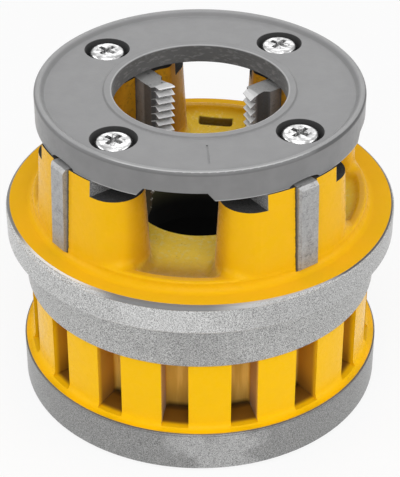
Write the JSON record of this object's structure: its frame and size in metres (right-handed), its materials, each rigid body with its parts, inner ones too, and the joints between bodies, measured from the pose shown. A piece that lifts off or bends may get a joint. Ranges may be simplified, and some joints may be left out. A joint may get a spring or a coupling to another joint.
{
  "type": "pipe threading die head",
  "caption": "Round cast die head with a slotted drive sleeve, wide flange, posts holding radial thread dies, and a screwed ring cover around the pipe bore.",
  "frame": {"origin": "middle of the base ring's flat underside, on the pipe axis", "axes": "+Z along the pipe axis from the base to the cover, chip windows on +X, +Y, -X and -Y, dies on the diagonals"},
  "size_m": [0.102, 0.102, 0.0869],
  "materials": {
    "casting": "yellow enamel on cast iron, with the flange, band and base ring turned bare",
    "cover": "plain grey coating, satin",
    "die_steel": "ground tool steel with a fine brushed grain",
    "screw": "bright zinc plate"
  },
  "bodies": {
    "head": {"die_head_body": "casting", "cover_plate": "cover"},
    "die_1": {"die_1": "die_steel"},
    "die_2": {"die_2": "die_steel"},
    "die_3": {"die_3": "die_steel"},
    "die_4": {"die_4": "die_steel"},
    "cover_screw_1": {"cover_screw_1": "screw"},
    "cover_screw_2": {"cover_screw_2": "screw"},
    "cover_screw_3": {"cover_screw_3": "screw"},
    "cover_screw_4": {"cover_screw_4": "screw"}
  },
  "joints": [
    {"name": "die_1_slide", "type": "slide", "parent": "head", "child": "die_1", "axis": [-0.7071, -0.7071, 0], "range_m": [0, 0.003]},
    {"name": "die_2_slide", "type": "slide", "parent": "head", "child": "die_2", "axis": [0.7071, -0.7071, 0], "range_m": [0, 0.003]},
    {"name": "die_3_slide", "type": "slide", "parent": "head", "child": "die_3", "axis": [0.7071, 0.7071, 0], "range_m": [0, 0.003]},
    {"name": "die_4_slide", "type": "slide", "parent": "head", "child": "die_4", "axis": [-0.7071, 0.7071, 0], "range_m": [0, 0.003]},
    {"name": "cover_screw_1_turn", "type": "hinge", "parent": "head", "child": "cover_screw_1", "pos_m": [0.0173, 0.02716, 0.08], "axis": [0, 0, 1], "range_deg": [0, 360]},
    {"name": "cover_screw_2_turn", "type": "hinge", "parent": "head", "child": "cover_screw_2", "pos_m": [-0.02716, 0.0173, 0.08], "axis": [0, 0, 1], "range_deg": [0, 360]},
    {"name": "cover_screw_3_turn", "type": "hinge", "parent": "head", "child": "cover_screw_3", "pos_m": [-0.0173, -0.02716, 0.08], "axis": [0, 0, 1], "range_deg": [0, 360]},
    {"name": "cover_screw_4_turn", "type": "hinge", "parent": "head", "child": "cover_screw_4", "pos_m": [0.02716, -0.0173, 0.08], "axis": [0, 0, 1], "range_deg": [0, 360]}
  ]
}
